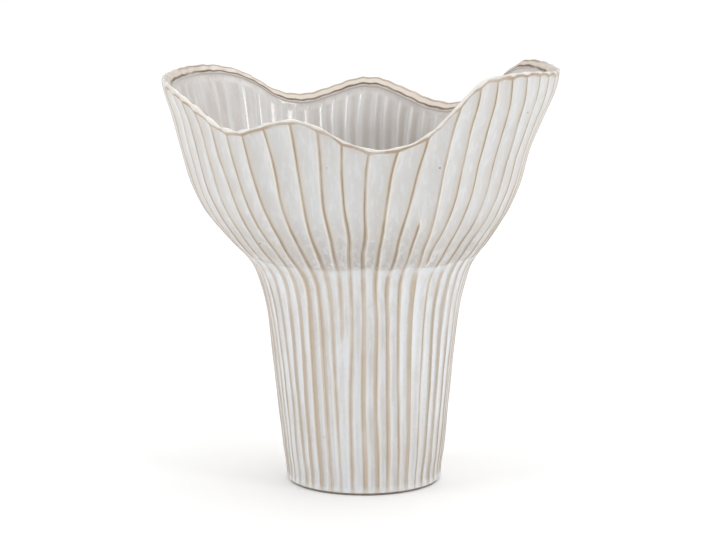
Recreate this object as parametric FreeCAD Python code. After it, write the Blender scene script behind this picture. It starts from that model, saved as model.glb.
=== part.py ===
# Fan vase: a fluted, tapering stem that opens into a wide bowl with a waved, rolled rim.
# It is made the way a potter makes it, from five members of clay: a foot ring, a floor slab,
# a fluted stem wall, a fluted bowl wall and a rim lip, each luted to the next face to face.
# Millimetres. The origin is the middle of the foot, +Z is up, and the front looks along -Y.
# Angles go round from the front, 0 degrees, towards +X.
import FreeCAD, Part
import math
import os

from FreeCAD import Vector

# Overall sizes
overall_height = 281.5      # to the highest crest of the rim
rim_radius = 131.6          # over the arrises, at the height of the highest crest
rim_wave_height = 47.0      # from the lowest dip of the rim to its highest crest
seam_height = 154.0         # where the bowl wall stands on the stem wall
seam_radius = 78.4          # over the arrises, at the seam
stem_foot_radius = 50.6     # over the arrises, where the stem would reach the ground
bowl_lean = 5.4             # how far the bowl leans towards -X at its fullest

# Walls and their flutes
wall_thickness = 6.4        # square to the wall, from an arris to the inside
flute_count = 46
stem_flute_depth = 1.4
bowl_flute_depth = 2.0
inner_flute_depth = 0.8     # the soft ribs on the inside of the bowl
seam_blend = 16.0           # height over which the flutes change from the stem's to the bowl's
foot_fade = 5.5             # height over which the flutes die out at the edge of the floor slab
lip_fade = 4.0              # height over which they die out under the bead of the lip
inner_fade = 40.0           # height over which the soft ribs inside die out above the seam
seam_crease_depth = 0.7
seam_crease_height = 5.0

# Rim lip
lip_height = 6.0            # from the bowl wall to the crest of the lip
lip_inner_height = 1.5      # from the bowl wall to the lip's inner edge, where its top slopes down to
bead_height = 2.6           # from the ends of the flutes to the crest
bead_proud = 0.3            # how far the bead stands out from the wall, outside
inner_proud = 0.6           # and inside

# Floor slab and foot ring
foot_height = 1.5
foot_inset = 1.2            # from the slab's edge to the ring's
foot_width = 9.0
foot_edge_radius = 0.5
floor_thickness = 6.0
floor_edge_radius = 0.8     # of the softened edge under the slab

# Outer profile of the stem: (share of the seam's height, share of the way from foot to seam radius)
stem_profile_shares = (
    (0.00, 0.00), (0.07, 0.03), (0.14, 0.09), (0.36, 0.22), (0.57, 0.34),
    (0.70, 0.42), (0.80, 0.51), (0.87, 0.61), (0.93, 0.725), (0.97, 0.86), (1.00, 1.00),
)
# Outer profile of the bowl: (share of the height from seam to crest, share of seam to rim radius)
bowl_profile_shares = (
    (0.00, 0.00), (0.05, 0.10), (0.14, 0.265), (0.23, 0.415), (0.36, 0.557),
    (0.53, 0.675), (0.70, 0.806), (0.87, 0.947), (1.00, 1.00),
)
# Lean of the walls: (share of the overall height, share of the bowl's lean)
lean_shares = (
    (0.00, 0.00), (0.10, 0.03), (0.20, 0.11), (0.30, 0.16), (0.42, 0.19), (0.49, 0.24),
    (0.55, 0.42), (0.62, 0.77), (0.70, 0.97), (0.78, 1.00), (0.89, 0.61), (1.00, 0.56),
)
# Waved rim: (degrees from the front, share of the wave's height above its lowest dip)
rim_wave_shares = (
    (-184, 0.326), (-182, 0.326), (-178, 0.298), (-171, 0.198), (-162, 0.113),
    (-156, 0.138), (-151, 0.213), (-144, 0.402),
    (-137, 0.543), (-128, 0.633), (-114, 0.68), (-102, 0.697), (-90, 0.705), (-80, 0.71),
    (-72, 0.69), (-60, 0.56), (-52, 0.40), (-46, 0.275), (-40, 0.246), (-33, 0.31),
    (-26, 0.42), (-19, 0.478), (-12, 0.395), (-3, 0.175), (7, 0.07), (15, 0.13),
    (22, 0.31), (30, 0.715), (35, 0.905), (38.5, 0.962), (47, 1.00), (55, 0.98),
    (64, 0.93), (76, 0.86), (88, 0.82), (95, 0.79), (112, 0.78), (119, 0.75),
    (126, 0.605), (131, 0.425), (138, 0.185), (147, 0.023), (154, 0.048), (162, 0.153),
    (170, 0.274), (174, 0.322), (176, 0.326),
)
# Section of one flute: depth at seven places from arris to arris, as shares of its full depth
place_shares = (0.0, 1 / 12, 1 / 4, 1 / 2, 3 / 4, 11 / 12, 1.0)
stem_section_shares = (0.0, 0.12, 0.66, 1.12, 0.66, 0.12, 0.0)
bowl_section_shares = (0.0, 0.30, 0.82, 1.08, 0.82, 0.30, 0.0)
# Levels of the walls' control points, closer where the shape turns, as shares of each wall's height
stem_level_shares = (
    0.0, 0.02, 0.05, 0.10, 0.20, 0.35, 0.50, 0.65, 0.75, 0.83, 0.89, 0.93, 0.965, 0.99, 1.0,
)
bowl_level_shares = (
    0.0, 0.015, 0.04, 0.08, 0.14, 0.20, 0.28, 0.36, 0.46, 0.56, 0.67, 0.77, 0.86, 0.91, 0.95, 0.98, 1.0,
)
# Levels of the lip's outer face, as shares of the way from its foot to its bead
lip_face_shares = (0.35, 0.7, 1.0)
# Section of the lip over its bead and down its sloping top: share of the way in to the inner edge,
# share of the bead's stand (inwards where negative), share of the bead's height, and share of the
# drop from the crest to the inner edge
lip_section_shares = (
    (0.00, 0.8, 0.20, 0.0), (0.00, 1.2, 0.58, 0.0), (0.03, 0.9, 0.92, 0.0), (0.15, 0.0, 1.01, 0.0),
    (0.30, 0.0, 1.00, 0.01), (0.45, 0.0, 1.00, 0.17), (0.70, 0.0, 1.00, 0.58), (0.95, 0.0, 1.00, 0.96),
)
# And down its inner edge: share of the inner stand, and share of the inner edge's height
lip_inner_shares = ((0.8, 1.0), (1.2, 0.55), (0.7, 0.15))
# Section of the slab's edge, from below: share of its edge radius inwards, share of its edge radius
# upwards, and share of the rest of its thickness
slab_section_shares = (
    (1.0, 0.0, 0.0), (0.4, 0.0, 0.0), (0.0, 0.6, 0.0), (0.0, 1.0, 0.1), (0.0, 1.0, 0.35),
    (0.0, 1.0, 0.65), (0.0, 1.0, 0.9), (0.0, 1.0, 1.0),
)
# Hand wander of the flutes: its reach as a share of one flute's width, its waves up the overall
# height as a share of one wave, and its whole waves round the vase
wander_share = 0.3
wander_rise_share = 1.3
wander_waves = 7

full_turn = 360.0
spline_degree = 3
settling_rounds = 3         # to find a height and an angle that depend on each other
cubic_mm_per_cm3 = 1000

floor_bottom = foot_height
stem_bottom = floor_bottom + floor_thickness
rim_low_height = overall_height - rim_wave_height
lip_face_height = lip_height - bead_height
lip_drop = lip_height - lip_inner_height


# Smooth curves through hand-chosen points

def chord_slope(points, i):
    """Slope of the straight line from point i to the next."""
    (x0, y0), (x1, y1) = points[i], points[i + 1]
    return (y1 - y0) / (x1 - x0)


def point_slope(points, i):
    """Slope of the smooth curve at point i, level at a crest or a dip."""
    before = chord_slope(points, max(i - 1, 0))
    after = chord_slope(points, min(i, len(points) - 2))
    if before * after <= 0:
        return 0.0
    return 2 * before * after / (before + after)


def smooth_value(points, x):
    """Value at x of the smooth curve through points, which never overshoots them."""
    i = 0
    while i < len(points) - 2 and x > points[i + 1][0]:
        i += 1
    (x0, y0), (x1, y1) = points[i], points[i + 1]
    step = x1 - x0
    t = (x - x0) / step
    rise = t * t * (3 - 2 * t)
    leave = t * (1 - t) * (1 - t) * point_slope(points, i) * step
    arrive = t * t * (1 - t) * point_slope(points, i + 1) * step
    return y0 + (y1 - y0) * rise + leave - arrive


def ramp(x, start, end):
    """Goes smoothly from 0 at start to 1 at end."""
    t = min(max((x - start) / (end - start), 0.0), 1.0)
    return t * t * (3 - 2 * t)


# The vase's form

def profile_radius(z):
    """Radius over the arrises at a height, without the crease at the seam."""
    if z < seam_height:
        share = smooth_value(stem_profile_shares, z / seam_height)
        return stem_foot_radius + share * (seam_radius - stem_foot_radius)
    share = smooth_value(bowl_profile_shares, (z - seam_height) / (overall_height - seam_height))
    return seam_radius + share * (rim_radius - seam_radius)


def arris_radius(z):
    """Radius over the arrises at a height, drawn in at the seam by a soft crease."""
    crease = 1 - ramp(abs(z - seam_height), 0.0, seam_crease_height)
    return profile_radius(z) - seam_crease_depth * crease


def wall_slope(z):
    """Outward slope of the wall at a height."""
    reach = wall_thickness
    return (profile_radius(z + reach) - profile_radius(z - reach)) / (2 * reach)


def inner_radius(z):
    """Radius of the inside before its soft ribs, so that the wall is as thick square to its slope."""
    return profile_radius(z) - wall_thickness * math.hypot(1, wall_slope(z))


def lean_at(z):
    """Where the walls' middle lies along X at a height."""
    return -bowl_lean * smooth_value(lean_shares, z / overall_height)


def rim_height(angle):
    """Height of the lip's top edge at an angle, following the wave of the rim."""
    start = rim_wave_shares[0][0]
    around = (angle - start) % full_turn + start
    return rim_low_height + rim_wave_height * smooth_value(rim_wave_shares, around)


def wall_top(angle):
    """Height at which the bowl wall ends and the lip begins."""
    return rim_height(angle) - lip_height


def bead_foot(angle):
    """Height at which the flutes end under the lip's bead."""
    return rim_height(angle) - bead_height


def arris_angle(index, z):
    """Angle of an arris at a height: evenly spaced, with a small wander of the hand."""
    waves = wander_rise_share * z / overall_height + wander_waves * index / flute_count
    return (index + wander_share * math.sin(math.radians(full_turn * waves))) * full_turn / flute_count


def place_angle(index, share, z):
    """Angle at a share of the way across a flute, from its arris to the next."""
    start = arris_angle(index, z)
    return start + (arris_angle(index + 1, z) - start) * share


def flute_depth(place, z, angle):
    """Depth of a flute below its arrises, at one of the seven places, a height and an angle."""
    bowl_part = ramp(z, seam_height - seam_blend, seam_height + seam_blend)
    stem_depth = stem_flute_depth * stem_section_shares[place]
    bowl_depth = bowl_flute_depth * bowl_section_shares[place]
    depth = stem_depth + (bowl_depth - stem_depth) * bowl_part
    foot_part = ramp(z, floor_bottom, floor_bottom + foot_fade)
    flute_top = bead_foot(angle)
    lip_part = 1 - ramp(z, flute_top - lip_fade, flute_top)
    return depth * foot_part * lip_part


def inner_depth(place, z, top):
    """How far the inside swells inwards between its soft ribs."""
    rise = ramp(z, seam_height, seam_height + inner_fade)
    lip_part = 1 - ramp(z, top - lip_fade, top)
    return inner_flute_depth * bowl_section_shares[place] * rise * lip_part


def wall_point(radius, angle, z):
    """Point of a wall, at a radius from the wall's own middle at that height."""
    turn = math.radians(angle)
    return Vector(lean_at(z) + radius * math.sin(turn), -radius * math.cos(turn), z)


def outer_point(index, place, z, inset=0.0):
    """Point of the fluted outside, at one of a flute's seven places and a height."""
    angle = place_angle(index, place_shares[place], z)
    return wall_point(arris_radius(z) - flute_depth(place, z, angle) - inset, angle, z)


# Faces and solids

def knots_for(count, degree):
    """Knots and their multiplicities for a clamped spline of so many poles."""
    spans = count - degree
    knots = [float(i) for i in range(spans + 1)]
    return knots, [degree + 1] + [1] * (spans - 1) + [degree + 1]


def spline_face(rows):
    """Face on a grid of control points: each row goes across, and the rows follow each other up."""
    columns = [list(column) for column in zip(*rows)]
    across_degree = spline_degree
    up_degree = min(spline_degree, len(rows) - 1)
    across_knots, across_mults = knots_for(len(columns), across_degree)
    up_knots, up_mults = knots_for(len(rows), up_degree)
    surface = Part.BSplineSurface()
    surface.buildFromPolesMultsKnots(
        columns, across_mults, up_mults, across_knots, up_knots, False, False, across_degree, up_degree,
    )
    return surface.toShape()


def spline_edge(row):
    """Edge along one row of control points."""
    knots, mults = knots_for(len(row), spline_degree)
    curve = Part.BSplineCurve()
    curve.buildFromPolesMultsKnots(row, mults, knots, False, spline_degree)
    return curve.toShape()


def level_ring(outer_rows, inner_rows):
    """Flat ring between two closed loops of edges on one level."""
    outer = Part.Wire([spline_edge(row) for row in outer_rows])
    inner = Part.Wire([spline_edge(row) for row in inner_rows])
    return Part.Face([outer, inner], "Part::FaceMakerBullseye")


def solid_of(faces):
    """Closed solid bounded by faces that meet edge to edge."""
    shell = Part.makeShell(faces)
    shell.sewShape()
    solid = Part.makeSolid(shell)
    if solid.Volume < 0:
        solid.reverse()
    return solid


# The five members

def stem_rows(index, outside):
    """Control points of one flute of the stem wall, outside or inside, from the floor slab up."""
    rows = []
    for level in stem_level_shares:
        z = stem_bottom + level * (seam_height - stem_bottom)
        row = []
        for place, share in enumerate(place_shares):
            if outside:
                row.append(outer_point(index, place, z))
            else:
                row.append(wall_point(inner_radius(z), place_angle(index, share, z), z))
        rows.append(row)
    return rows


def bowl_rows(index, outside):
    """Control points of one flute of the bowl wall, outside or inside, from the seam up."""
    rows = []
    for level in bowl_level_shares:
        row = []
        for place, share in enumerate(place_shares):
            z = seam_height
            for _ in range(settling_rounds):
                angle = place_angle(index, share, z)
                top = wall_top(angle)
                z = seam_height + level * (top - seam_height)
            if outside:
                row.append(outer_point(index, place, z))
            else:
                row.append(wall_point(inner_radius(z) - inner_depth(place, z, top), angle, z))
        rows.append(row)
    return rows


def lip_rows(index):
    """Control points over the lip above one flute, from its outer foot over its crest to its inner."""
    outer_feet = bowl_rows(index, True)[-1]
    inner_feet = bowl_rows(index, False)[-1]
    rows = [outer_feet]
    for share in lip_face_shares:
        heights = [foot.z + share * lip_face_height for foot in outer_feet]
        rows.append([outer_point(index, place, z) for place, z in enumerate(heights)])
    pairs = [(outer, foot + Vector(0, 0, lip_face_height)) for outer, foot in zip(rows[-1], inner_feet)]
    for in_share, proud_share, up_share, drop_share in lip_section_shares:
        up = Vector(0, 0, up_share * bead_height - drop_share * lip_drop)
        row = []
        for outer, inner in pairs:
            outwards = (outer - inner) / outer.distanceToPoint(inner)
            row.append(outer + (inner - outer) * in_share + outwards * proud_share * bead_proud + up)
        rows.append(row)
    for proud_share, up_share in lip_inner_shares:
        up = Vector(0, 0, up_share * lip_inner_height)
        row = []
        for outer, inner in zip(outer_feet, inner_feet):
            inwards = (inner - outer) / outer.distanceToPoint(inner)
            row.append(inner + inwards * proud_share * inner_proud + up)
        rows.append(row)
    rows.append(inner_feet)
    return rows


def slab_rows(index):
    """Control points of the slab's edge under one flute, from its underside up to the stem wall."""
    rows = []
    for inset_share, edge_share, up_share in slab_section_shares:
        up = edge_share * floor_edge_radius + up_share * (floor_thickness - floor_edge_radius)
        z = floor_bottom + up
        inset = inset_share * floor_edge_radius
        rows.append([outer_point(index, place, z, inset) for place in range(len(place_shares))])
    return rows


def rim_lip():
    """Rolled lip that follows the waved top of the bowl wall."""
    faces = []
    for index in range(flute_count):
        rows = lip_rows(index)
        faces.append(spline_face(rows))
        faces.append(spline_face([rows[0], rows[-1]]))
    return solid_of(faces)


def bowl_wall():
    """Fluted bowl from the seam up to the lip, with soft ribs inside."""
    outer = [bowl_rows(index, True) for index in range(flute_count)]
    inner = [bowl_rows(index, False) for index in range(flute_count)]
    faces = [spline_face(rows) for rows in outer + inner]
    faces += [spline_face([out[-1], into[-1]]) for out, into in zip(outer, inner)]
    faces.append(level_ring([rows[0] for rows in outer], [rows[0] for rows in inner]))
    return solid_of(faces)


def stem_wall():
    """Fluted, tapering tube from the floor slab up to the seam."""
    outer = [stem_rows(index, True) for index in range(flute_count)]
    inner = [stem_rows(index, False) for index in range(flute_count)]
    faces = [spline_face(rows) for rows in outer + inner]
    for end in (0, -1):
        faces.append(level_ring([rows[end] for rows in outer], [rows[end] for rows in inner]))
    return solid_of(faces)


def floor_slab():
    """Slab that closes the stem, whose edge takes the ends of the flutes."""
    grids = [slab_rows(index) for index in range(flute_count)]
    faces = [spline_face(rows) for rows in grids]
    for end in (0, -1):
        faces.append(Part.Face(Part.Wire([spline_edge(rows[end]) for rows in grids])))
    return solid_of(faces)


def foot_ring():
    """Unglazed ring that the vase stands on, set in from the slab's edge."""
    radius = stem_foot_radius - foot_inset
    ring = Part.makeCylinder(radius, foot_height).cut(Part.makeCylinder(radius - foot_width, foot_height))
    lower = [edge for edge in ring.Edges if edge.BoundBox.ZMax < foot_height / 2]
    return ring.makeFillet(foot_edge_radius, lower)


members = {
    "foot_ring": foot_ring,
    "floor_slab": floor_slab,
    "stem_wall": stem_wall,
    "bowl_wall": bowl_wall,
    "rim_lip": rim_lip,
}

os.makedirs("parts", exist_ok=True)
for name, make in members.items():
    shape = make()
    shape.exportStep(f"parts/{name}.step")
    box = shape.BoundBox
    volume = shape.Volume / cubic_mm_per_cm3
    print(f"{name}: {len(shape.Solids)} solid, valid {shape.isValid()}, {volume:.1f} cm3, "
          f"{box.XLength:.1f} x {box.YLength:.1f} x {box.ZLength:.1f} mm, top {box.ZMax:.2f}")
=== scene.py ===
"""The fan vase as the photograph shows it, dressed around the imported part.

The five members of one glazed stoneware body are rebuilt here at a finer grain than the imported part
has: a foot ring, a floor slab, a fluted stem wall, a fluted bowl wall and a rolled rim lip. Lengths
in the classes are millimetres and the meshes are in metres. Angles are degrees round the vase from
its front, growing towards +X.
"""

import logging
import math
from dataclasses import dataclass
from enum import Enum
from functools import reduce

import bmesh
import bpy
import numpy as np
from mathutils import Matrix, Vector


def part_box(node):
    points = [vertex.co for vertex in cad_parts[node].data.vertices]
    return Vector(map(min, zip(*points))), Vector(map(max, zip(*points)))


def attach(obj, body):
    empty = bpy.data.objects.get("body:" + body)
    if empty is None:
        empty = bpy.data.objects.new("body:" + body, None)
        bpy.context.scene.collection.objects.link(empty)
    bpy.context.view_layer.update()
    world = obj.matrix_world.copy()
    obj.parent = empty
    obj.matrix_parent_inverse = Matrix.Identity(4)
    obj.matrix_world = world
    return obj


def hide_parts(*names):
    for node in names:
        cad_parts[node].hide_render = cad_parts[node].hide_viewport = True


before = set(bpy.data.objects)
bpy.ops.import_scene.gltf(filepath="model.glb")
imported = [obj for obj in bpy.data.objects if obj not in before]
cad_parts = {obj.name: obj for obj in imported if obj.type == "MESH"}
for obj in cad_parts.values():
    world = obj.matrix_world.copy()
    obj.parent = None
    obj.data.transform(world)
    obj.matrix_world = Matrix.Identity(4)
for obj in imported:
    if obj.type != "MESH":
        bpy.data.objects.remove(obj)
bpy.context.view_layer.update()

log = logging.getLogger("fan_vase")

Array = np.ndarray
Fields = dict[str, Array]
Span = tuple[float, float]
Place = tuple[float, float, float]
Colour = tuple[float, float, float, float]
Waves = tuple[tuple[float, float, float, float], ...]
Node = bpy.types.Node
Tree = bpy.types.NodeTree
Socket = bpy.types.NodeSocket
Sockets = bpy.types.bpy_prop_collection
Material = bpy.types.Material
Piece = bpy.types.Object

METRES_PER_MM = 0.001
FULL_TURN = 360.0
FAR_MM = 9.0
SHARP_ANGLE = 50.0
MEASURES = ("ridge_mm", "band_mm", "core_mm", "bowl", "side", "lip_mm", "cut", "seam_mm", "flank", "inner_shade",
            "line_mm", "outer_edge_mm", "inner_edge_mm", "top", "within")


class Side(Enum):
    """The sides of the walls, each with its own finish."""

    OUTSIDE = 0
    INSIDE = 1
    LIP = 2


Finishes = dict[Side, Material]


class SmoothCurve:
    """Smooth curve through given points."""

    def __init__(self, *points: Span, flowing: bool = False) -> None:
        """Keeps the points and works out the slope at each.

        Args:
            points: Pairs of place and value, in order of place.
            flowing: Whether the curve may swing past its points, as a drawn line does.
        """
        self.places, self.values = np.array(points, float).T
        chords = np.diff(self.values) / np.diff(self.places)
        before, after = np.append(chords[:1], chords), np.append(chords, chords[-1:])
        both, total = before * after, before + after
        monotone = 2 * both / np.where(total == 0, 1.0, total)
        self.slopes = total / 2 if flowing else np.where(both > 0, monotone, 0.0)

    def at(self, x: Array) -> Array:
        """Values of the curve.

        Args:
            x: Places along the curve.

        Returns:
            The value at each place.
        """
        i = np.clip(np.searchsorted(self.places, x, side="right") - 1, 0, len(self.places) - 2)
        step = self.places[i + 1] - self.places[i]
        t = (x - self.places[i]) / step
        leave = t * (1 - t) ** 2 * self.slopes[i] * step
        arrive = t * t * (1 - t) * self.slopes[i + 1] * step
        return mix(self.values[i], self.values[i + 1], t * t * (3 - 2 * t)) + leave - arrive


def mix(first: Array, second: Array, share: Array) -> Array:
    """Goes from the first value to the second as the share grows from 0 to 1."""
    return first + (second - first) * share


def ramp(x: Array, start: float, end: float) -> Array:
    """Goes smoothly from 0 where x is at the start to 1 where it is at the end."""
    t = np.clip((x - start) / (end - start), 0.0, 1.0)
    return t * t * (3 - 2 * t)


def swell(x: Array, middle: float, reach: float, power: int = 2) -> Array:
    """Soft swell that is 1 at its middle and dies out past its reach."""
    return np.exp(-((x - middle) / reach) ** power)


def turned(angle: Array, start: float) -> Array:
    """Angles from a start, between minus and plus half a turn."""
    return (angle - start + FULL_TURN / 2) % FULL_TURN - FULL_TURN / 2


def ripple(waves: Waves, angle: Array, z: Array | float = 0.0) -> Array:
    """Sum of waves round the vase, each given by size, count, twist in a millimetre and start."""
    turn = np.radians(angle)
    return sum(size * np.sin(count * turn + twist * z + start) for size, count, twist, start in waves)


def way_in(share: Array) -> Array:
    """How far in a place lies from the ridges: 0 on a ridge, and 1 halfway between two."""
    return np.minimum(share, 1 - share) * 2


def spline_weights(poles: int, samples: int) -> Array:
    """Weights of a clamped cubic spline.

    Args:
        poles: Number of control points.
        samples: Number of points wanted along the curve, its ends included.

    Returns:
        One row of weights for each sample.
    """
    spans = poles - 3
    knots = np.concatenate([np.zeros(3), np.arange(spans + 1.0), np.full(3, float(spans))])
    x = np.minimum(np.linspace(0, spans, samples), spans - 1e-9)[:, None]
    weights = ((knots[:-1] <= x) & (x < knots[1:])).astype(float)
    for degree in (1, 2, 3):
        rise = (x - knots[:-degree]) / np.maximum(knots[degree:] - knots[:-degree], 1e-9)
        weights = rise[:, :-1] * weights[:, :-1] + (1 - rise[:, 1:]) * weights[:, 1:]
    return weights


@dataclass(frozen=True)
class SlipFold:
    """A small fold of slip left on the wall at the seam."""

    angle: float
    height: float
    slant: float
    reach: float = 3.2
    proud: float = 0.45
    thickness: float = 1.0


@dataclass(frozen=True)
class VaseForm:
    """Sizes of the vase and the smooth form that its walls follow."""

    overall_height: float = 281.5
    rim_radius: float = 131.6
    rim_wave_height: float = 47.0
    seam_height: float = 154.0
    seam_radius: float = 78.4
    stem_foot_radius: float = 50.6
    bowl_lean: float = 5.4
    wall_thickness: float = 6.4
    lip_height: float = 6.0
    lip_inner_height: float = 1.5
    bead_height: float = 1.6
    bead_swells: tuple[Place, ...] = ((-75.0, 38.0, 0.8), (38.0, 12.0, 0.48))
    foot_height: float = 1.5
    floor_thickness: float = 6.0
    hand_waves: Waves = ((0.22, 3, 0.021, 1.3), (0.16, 5, -0.043, 0.4), (0.10, 11, 0.11, 2.2),
                         (0.08, 17, -0.17, 5.0))
    hand_rise: float = 40.0
    tuck_angle: float = -104.0
    tuck_reach: float = 14.0
    tuck_depth: float = 1.6
    tuck_rise: Span = (246.0, 262.0)
    # Flank (-1 left, 1 right) and depth of each draw, and where it begins, is full, ebbs and has gone.
    draws: tuple[tuple[float, ...], ...] = (
        (-1, 0.4, 60, 100, 150, 165), (-1, 0.8, 170, 200, 900, 1000), (1, 0.6, 165, 190, 240, 262))
    seam_waves: Waves = ((0.6, 4, 0.0, 0.8), (0.5, 13, 0.0, 2.1))
    crease_depth: float = 0.65
    crease_height: float = 2.6
    crease_waves: Waves = ((0.25, 6, 0.0, 1.1),)
    smoothed_angle: float = -45.0
    smoothed_reach: float = 20.0
    smoothed_share: float = 0.7
    folds: tuple[SlipFold, ...] = (
        SlipFold(15.0, 160.3, 0.25), SlipFold(35.5, 157.2, -0.35, 2.6), SlipFold(-2.0, 151.5, -0.1, 4.0, 0.3),
        SlipFold(-17.0, 152.6, 0.15, 3.0, 0.3), SlipFold(26.0, 150.2, 0.2, 2.4, 0.35), SlipFold(-58.0, 155.0, 0.1))
    stem_profile: SmoothCurve = SmoothCurve(
        (0.00, 0.00), (0.07, 0.03), (0.14, 0.09), (0.36, 0.22), (0.57, 0.34), (0.70, 0.42),
        (0.80, 0.51), (0.87, 0.61), (0.93, 0.725), (0.97, 0.86), (1.00, 1.00))
    bowl_profile: SmoothCurve = SmoothCurve(
        (0.00, 0.00), (0.05, 0.10), (0.14, 0.265), (0.23, 0.415), (0.36, 0.557), (0.53, 0.675),
        (0.70, 0.806), (0.87, 0.947), (1.00, 1.00))
    lean: SmoothCurve = SmoothCurve(
        (0.00, 0.00), (0.10, 0.03), (0.20, 0.11), (0.30, 0.16), (0.42, 0.19), (0.49, 0.24),
        (0.55, 0.42), (0.62, 0.77), (0.70, 0.97), (0.78, 1.00), (0.89, 0.61), (1.00, 0.56))
    rim_wave: SmoothCurve = SmoothCurve(
        (-184, 0.326), (-182, 0.326), (-178, 0.298), (-171, 0.198), (-162, 0.113),
        (-156, 0.138), (-151, 0.213), (-144, 0.402), (-137, 0.543), (-128, 0.633), (-114, 0.68),
        (-102, 0.697), (-90, 0.705), (-80, 0.71), (-72, 0.69), (-60, 0.56), (-52, 0.40),
        (-46, 0.275), (-40, 0.246), (-33, 0.31), (-26, 0.42), (-19, 0.478), (-12, 0.395),
        (-3, 0.175), (7, 0.07), (15, 0.13), (22, 0.31), (30, 0.715), (35, 0.915), (38.5, 0.985),
        (47, 0.995), (55, 0.98), (64, 0.93), (76, 0.86), (88, 0.82), (95, 0.79), (112, 0.78),
        (119, 0.75), (126, 0.590), (131, 0.390), (138, 0.175), (147, 0.023), (154, 0.048),
        (162, 0.153), (170, 0.274), (174, 0.322), (176, 0.326))

    @property
    def stem_bottom(self) -> float:
        """Height at which the stem wall stands on the floor slab."""
        return self.foot_height + self.floor_thickness

    def profile_radius(self, z: Array) -> Array:
        """Radius over the ridges.

        Args:
            z: Heights.

        Returns:
            The radius at each height, without the crease at the seam.
        """
        stem = self.stem_profile.at(z / self.seam_height)
        bowl = self.bowl_profile.at((z - self.seam_height) / (self.overall_height - self.seam_height))
        return np.where(z < self.seam_height, mix(self.stem_foot_radius, self.seam_radius, stem),
                        mix(self.seam_radius, self.rim_radius, bowl))

    def inner_radius(self, z: Array) -> Array:
        """Radius of the inside without its soft ribs.

        Args:
            z: Heights.

        Returns:
            The radius at each height, where the wall is as thick square to its slope.
        """
        reach = self.wall_thickness
        slope = (self.profile_radius(z + reach) - self.profile_radius(z - reach)) / (2 * reach)
        return self.profile_radius(z) - reach * np.hypot(1, slope)

    def rim_height(self, angle: Array) -> Array:
        """Height of the lip's top edge at each angle."""
        around = (angle - self.rim_wave.places[0]) % FULL_TURN + self.rim_wave.places[0]
        return self.overall_height + self.rim_wave_height * (self.rim_wave.at(around) - 1)

    def wall_top(self, angle: Array) -> Array:
        """Height at which the bowl wall ends and the lip begins, at each angle."""
        return self.rim_height(angle) - self.lip_height

    def bead_depth(self, angle: Array) -> Array:
        """Height of the lip's bead at each angle, fuller at the left of the front."""
        swells = (size * swell(turned(angle, middle), 0.0, reach) for middle, reach, size in self.bead_swells)
        return self.bead_height + sum(swells)

    def hand_wobble(self, angle: Array, z: Array) -> Array:
        """Slow unevenness that hands leave in a wall.

        Args:
            angle: Angles round the vase.
            z: Heights.

        Returns:
            How far the wall stands out of its true form at each place.
        """
        hands = ripple(self.hand_waves, angle, z) * (0.25 + 0.75 * ramp(z, 0.0, self.hand_rise))
        tuck = self.tuck_depth * ramp(z, *self.tuck_rise)
        result = hands - tuck * swell(turned(angle, self.tuck_angle), 0.0, self.tuck_reach)
        for flank, depth, start, full, ebb, gone in self.draws:
            drawn = depth * ramp(z, start, full) * (1 - ramp(z, ebb, gone))
            result = result - drawn * np.maximum(flank * np.sin(np.radians(angle)), 0.0) ** 2
        return result

    def above_seam(self, angle: Array, z: Array) -> Array:
        """Height above the uneven line of the seam, at each place."""
        return z - self.seam_height - ripple(self.seam_waves, angle)

    def seam_crease(self, angle: Array, z: Array) -> Array:
        """Depth of the crease where the bowl was luted to the stem, less the folds of slip on it.

        Args:
            angle: Angles round the vase.
            z: Heights.

        Returns:
            How far the crease draws the wall in at each place.
        """
        away = np.abs(self.above_seam(angle, z)) / self.crease_height
        smoothed = 1 - self.smoothed_share * swell(angle, self.smoothed_angle, self.smoothed_reach, 4)
        depth = self.crease_depth * np.exp(-away) * (0.75 + ripple(self.crease_waves, angle)) * smoothed
        for fold in self.folds:
            along = (angle - fold.angle) * self.seam_radius * math.pi / 180
            up = z - fold.height - fold.slant * along
            depth = depth - fold.proud * swell(along, 0.0, fold.reach, 4) * swell(up, 0.0, fold.thickness)
        return depth

    def point(self, radius: Array, angle: Array, z: Array) -> Array:
        """Points of a wall about its own leaning middle, with their coordinates along the last axis."""
        turn, middle = np.radians(angle), -self.bowl_lean * self.lean.at(z / self.overall_height)
        return np.stack([middle + radius * np.sin(turn), -radius * np.cos(turn), z], axis=-1)


@dataclass(frozen=True)
class ShortRidge:
    """A ridge of the front that runs up only part of the wall."""

    number: int
    fades_in: Span = (-20.0, -10.0)
    fades_out: Span = (900.0, 1000.0)


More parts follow.
